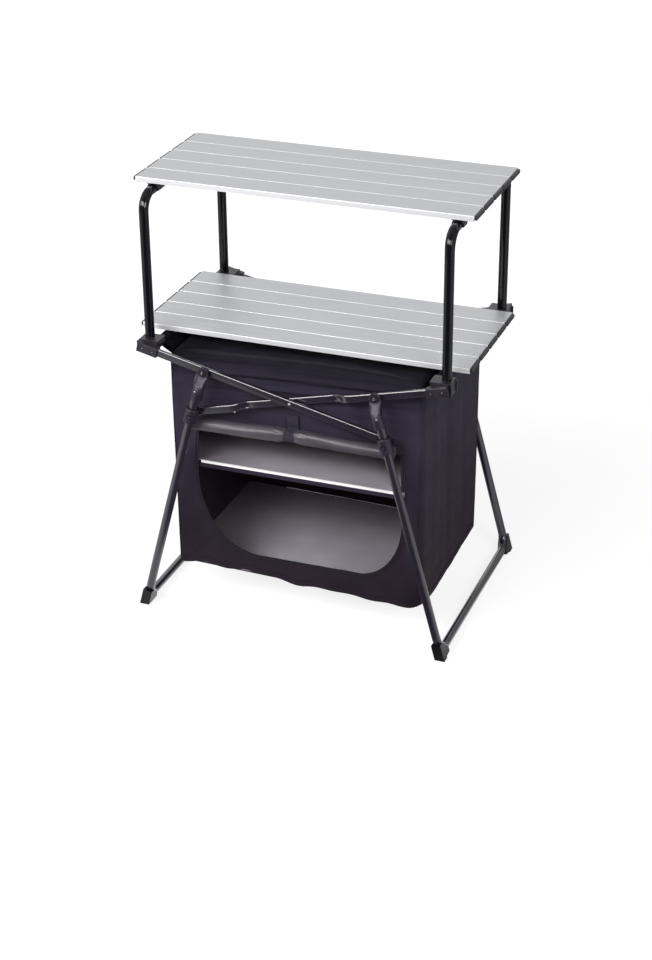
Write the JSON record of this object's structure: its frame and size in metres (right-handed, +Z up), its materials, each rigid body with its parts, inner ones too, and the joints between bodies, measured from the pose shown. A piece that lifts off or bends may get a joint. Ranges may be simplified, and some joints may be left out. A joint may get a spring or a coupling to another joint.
{
  "type": "camp kitchen cabinet",
  "caption": "Folding camp kitchen: an upper and a lower slatted aluminium tabletop on a scissor-folding tube frame, with a cloth cabinet, a shelf and a rolled-up door.",
  "frame": {"origin": "on the floor, under the middle of the frame, between the four shoes", "axes": "+X runs along the tabletops to the right of someone facing the door opening, +Y points to the back, +Z points up"},
  "size_m": [0.8, 0.574, 1.043],
  "materials": {
    "satin_aluminium": "satin",
    "gloss_black_paint": "gloss",
    "satin_grey_paint": "satin",
    "black_plastic": "matte",
    "rivet_steel": "satin",
    "charcoal_cloth": "plain weave",
    "grey_panel_cloth": "plain weave",
    "pale_edging": "matte"
  },
  "bodies": {
    "crossing_rivets": {"front_crossing_rivet": "rivet_steel", "rear_crossing_rivet": "rivet_steel"},
    "left_rail_frame": {"front_left_rail": "satin_grey_paint", "rear_left_rail": "satin_grey_paint", "front_left_corner_bracket": "black_plastic", "rear_left_corner_bracket": "black_plastic", "left_crossbar": "gloss_black_paint", "left_cloth_hanger": "charcoal_cloth", "front_left_leg_rivet": "rivet_steel", "rear_left_leg_rivet": "rivet_steel"},
    "left_leg": {"left_leg_loop": "satin_grey_paint", "front_left_leg_fitting": "satin_grey_paint", "rear_left_leg_fitting": "satin_grey_paint", "front_left_leg_shoe": "black_plastic", "rear_left_leg_shoe": "black_plastic"},
    "left_loop": {"left_post_loop": "gloss_black_paint", "front_left_table_clip": "black_plastic", "rear_left_table_clip": "black_plastic"},
    "front_left_collar": {"front_left_sliding_collar": "satin_grey_paint"},
    "front_left_button": {"front_left_collar_button": "black_plastic"},
    "rear_left_collar": {"rear_left_sliding_collar": "satin_grey_paint"},
    "rear_left_button": {"rear_left_collar_button": "black_plastic"},
    "right_rail_frame": {"front_right_rail": "satin_grey_paint", "rear_right_rail": "satin_grey_paint", "front_right_corner_bracket": "black_plastic", "rear_right_corner_bracket": "black_plastic", "right_crossbar": "gloss_black_paint", "right_cloth_hanger": "charcoal_cloth", "front_right_leg_rivet": "rivet_steel", "rear_right_leg_rivet": "rivet_steel"},
    "right_leg": {"right_leg_loop": "satin_grey_paint", "front_right_leg_fitting": "satin_grey_paint", "rear_right_leg_fitting": "satin_grey_paint", "front_right_leg_shoe": "black_plastic", "rear_right_leg_shoe": "black_plastic"},
    "right_loop": {"right_post_loop": "gloss_black_paint", "front_right_table_clip": "black_plastic", "rear_right_table_clip": "black_plastic"},
    "front_right_collar": {"front_right_sliding_collar": "satin_grey_paint"},
    "front_right_button": {"front_right_collar_button": "black_plastic"},
    "rear_right_collar": {"rear_right_sliding_collar": "satin_grey_paint"},
    "rear_right_button": {"rear_right_collar_button": "black_plastic"},
    "cabinet": {"cloth_cabinet": "charcoal_cloth", "shelf_panel": "grey_panel_cloth", "shelf_edging": "pale_edging", "floor_panel": "grey_panel_cloth", "rolled_door": "charcoal_cloth", "door_strap": "charcoal_cloth"},
    "zip_slider": {"zip_slider": "rivet_steel"},
    "upper_table": {"upper_slat_3": "satin_aluminium"},
    "upper_slat_1": {"upper_slat_1": "satin_aluminium"},
    "upper_slat_2": {"upper_slat_2": "satin_aluminium"},
    "upper_slat_4": {"upper_slat_4": "satin_aluminium"},
    "upper_slat_5": {"upper_slat_5": "satin_aluminium"},
    "lower_table": {"lower_slat_3": "satin_aluminium"},
    "lower_slat_1": {"lower_slat_1": "satin_aluminium"},
    "lower_slat_2": {"lower_slat_2": "satin_aluminium"},
    "lower_slat_4": {"lower_slat_4": "satin_aluminium"},
    "lower_slat_5": {"lower_slat_5": "satin_aluminium"}
  },
  "joints": [
    {"name": "left_rail_fold", "type": "hinge", "parent": "crossing_rivets", "child": "left_rail_frame", "pos_m": [0, 0, 0.5795], "axis": [0, 1, 0], "range_deg": [0, 68]},
    {"name": "right_rail_fold", "type": "hinge", "parent": "crossing_rivets", "child": "right_rail_frame", "pos_m": [0, 0, 0.5795], "axis": [0, -1, 0], "range_deg": [0, 68]},
    {"name": "left_leg_fold", "type": "hinge", "parent": "left_rail_frame", "child": "left_leg", "pos_m": [-0.20599, 0, 0.62876], "axis": [0, -1, 0], "range_deg": [0, 82.5]},
    {"name": "front_left_collar_slide", "type": "slide", "parent": "left_leg", "child": "front_left_collar", "axis": [-0.2596, 0, -0.9657], "range_m": [0, 0.3387]},
    {"name": "front_left_button_press", "type": "slide", "parent": "front_left_collar", "child": "front_left_button", "axis": [0, 1, 0], "range_m": [0, 0.0028], "stiffness_N_per_m": 600},
    {"name": "rear_left_collar_slide", "type": "slide", "parent": "left_leg", "child": "rear_left_collar", "axis": [-0.2596, 0, -0.9657], "range_m": [0, 0.3387]},
    {"name": "rear_left_button_press", "type": "slide", "parent": "rear_left_collar", "child": "rear_left_button", "axis": [0, -1, 0], "range_m": [0, 0.0028], "stiffness_N_per_m": 600},
    {"name": "left_loop_lift", "type": "slide", "parent": "crossing_rivets", "child": "left_loop", "axis": [0, 0, 1], "range_m": [0, 0.535]},
    {"name": "right_leg_fold", "type": "hinge", "parent": "right_rail_frame", "child": "right_leg", "pos_m": [0.20599, 0, 0.62876], "axis": [0, 1, 0], "range_deg": [0, 82.5]},
    {"name": "front_right_collar_slide", "type": "slide", "parent": "right_leg", "child": "front_right_collar", "axis": [0.2596, 0, -0.9657], "range_m": [0, 0.3387]},
    {"name": "front_right_button_press", "type": "slide", "parent": "front_right_collar", "child": "front_right_button", "axis": [0, 1, 0], "range_m": [0, 0.0028], "stiffness_N_per_m": 600},
    {"name": "rear_right_collar_slide", "type": "slide", "parent": "right_leg", "child": "rear_right_collar", "axis": [0.2596, 0, -0.9657], "range_m": [0, 0.3387]},
    {"name": "rear_right_button_press", "type": "slide", "parent": "rear_right_collar", "child": "rear_right_button", "axis": [0, -1, 0], "range_m": [0, 0.0028], "stiffness_N_per_m": 600},
    {"name": "right_loop_lift", "type": "slide", "parent": "crossing_rivets", "child": "right_loop", "axis": [0, 0, 1], "range_m": [0, 0.535]},
    {"name": "upper_table_lift", "type": "slide", "parent": "crossing_rivets", "child": "upper_table", "axis": [0, 0, 1], "range_m": [0, 0.535]},
    {"name": "upper_slat_2_roll", "type": "hinge", "parent": "upper_table", "child": "upper_slat_2", "pos_m": [0, -0.03425, 1.043], "axis": [-1, 0, 0], "range_deg": [0, 70]},
    {"name": "upper_slat_4_roll", "type": "hinge", "parent": "upper_table", "child": "upper_slat_4", "pos_m": [0, 0.03425, 1.043], "axis": [1, 0, 0], "range_deg": [0, 70]},
    {"name": "upper_slat_1_roll", "type": "hinge", "parent": "upper_slat_2", "child": "upper_slat_1", "pos_m": [0, -0.10275, 1.043], "axis": [-1, 0, 0], "range_deg": [0, 70]},
    {"name": "upper_slat_5_roll", "type": "hinge", "parent": "upper_slat_4", "child": "upper_slat_5", "pos_m": [0, 0.10275, 1.043], "axis": [1, 0, 0], "range_deg": [0, 70]},
    {"name": "lower_table_lift", "type": "slide", "parent": "crossing_rivets", "child": "lower_table", "axis": [0, 0, 1], "range_m": [0, 0.535]},
    {"name": "lower_slat_2_roll", "type": "hinge", "parent": "lower_table", "child": "lower_slat_2", "pos_m": [0, -0.03425, 0.692], "axis": [-1, 0, 0], "range_deg": [0, 70]},
    {"name": "lower_slat_4_roll", "type": "hinge", "parent": "lower_table", "child": "lower_slat_4", "pos_m": [0, 0.03425, 0.692], "axis": [1, 0, 0], "range_deg": [0, 70]},
    {"name": "lower_slat_1_roll", "type": "hinge", "parent": "lower_slat_2", "child": "lower_slat_1", "pos_m": [0, -0.10275, 0.692], "axis": [-1, 0, 0], "range_deg": [0, 70]},
    {"name": "lower_slat_5_roll", "type": "hinge", "parent": "lower_slat_4", "child": "lower_slat_5", "pos_m": [0, 0.10275, 0.692], "axis": [1, 0, 0], "range_deg": [0, 70]},
    {"name": "cabinet_rise", "type": "slide", "parent": "crossing_rivets", "child": "cabinet", "axis": [0, 0, 1], "range_m": [0, 0.2537], "deforming": ["cloth_cabinet", "shelf_panel", "shelf_edging", "floor_panel", "rolled_door", "door_strap"]},
    {"name": "zip_slide", "type": "slide", "parent": "cabinet", "child": "zip_slider", "axis": [0, 0, 1], "range_m": [-0.115, 0.085]}
  ],
  "couplings": [
    {"joint": "right_rail_fold", "follows": "left_rail_fold", "ratio": 1},
    {"joint": "left_leg_fold", "follows": "left_rail_fold", "ratio": 1.2131},
    {"joint": "front_left_collar_slide", "follows": "left_rail_fold", "m_per_rad": 0.28535},
    {"joint": "rear_left_collar_slide", "follows": "left_rail_fold", "m_per_rad": 0.28535},
    {"joint": "left_loop_lift", "follows": "left_rail_fold", "m_per_rad": 0.45},
    {"joint": "right_leg_fold", "follows": "left_rail_fold", "ratio": 1.2131},
    {"joint": "front_right_collar_slide", "follows": "left_rail_fold", "m_per_rad": 0.28535},
    {"joint": "rear_right_collar_slide", "follows": "left_rail_fold", "m_per_rad": 0.28535},
    {"joint": "right_loop_lift", "follows": "left_rail_fold", "m_per_rad": 0.45},
    {"joint": "upper_table_lift", "follows": "left_rail_fold", "m_per_rad": 0.45},
    {"joint": "upper_slat_4_roll", "follows": "upper_slat_2_roll", "ratio": 1},
    {"joint": "upper_slat_1_roll", "follows": "upper_slat_2_roll", "ratio": 1},
    {"joint": "upper_slat_5_roll", "follows": "upper_slat_2_roll", "ratio": 1},
    {"joint": "lower_table_lift", "follows": "left_rail_fold", "m_per_rad": 0.45},
    {"joint": "lower_slat_4_roll", "follows": "lower_slat_2_roll", "ratio": 1},
    {"joint": "lower_slat_1_roll", "follows": "lower_slat_2_roll", "ratio": 1},
    {"joint": "lower_slat_5_roll", "follows": "lower_slat_2_roll", "ratio": 1},
    {"joint": "cabinet_rise", "follows": "left_rail_fold", "m_per_rad": 0.2137}
  ]
}
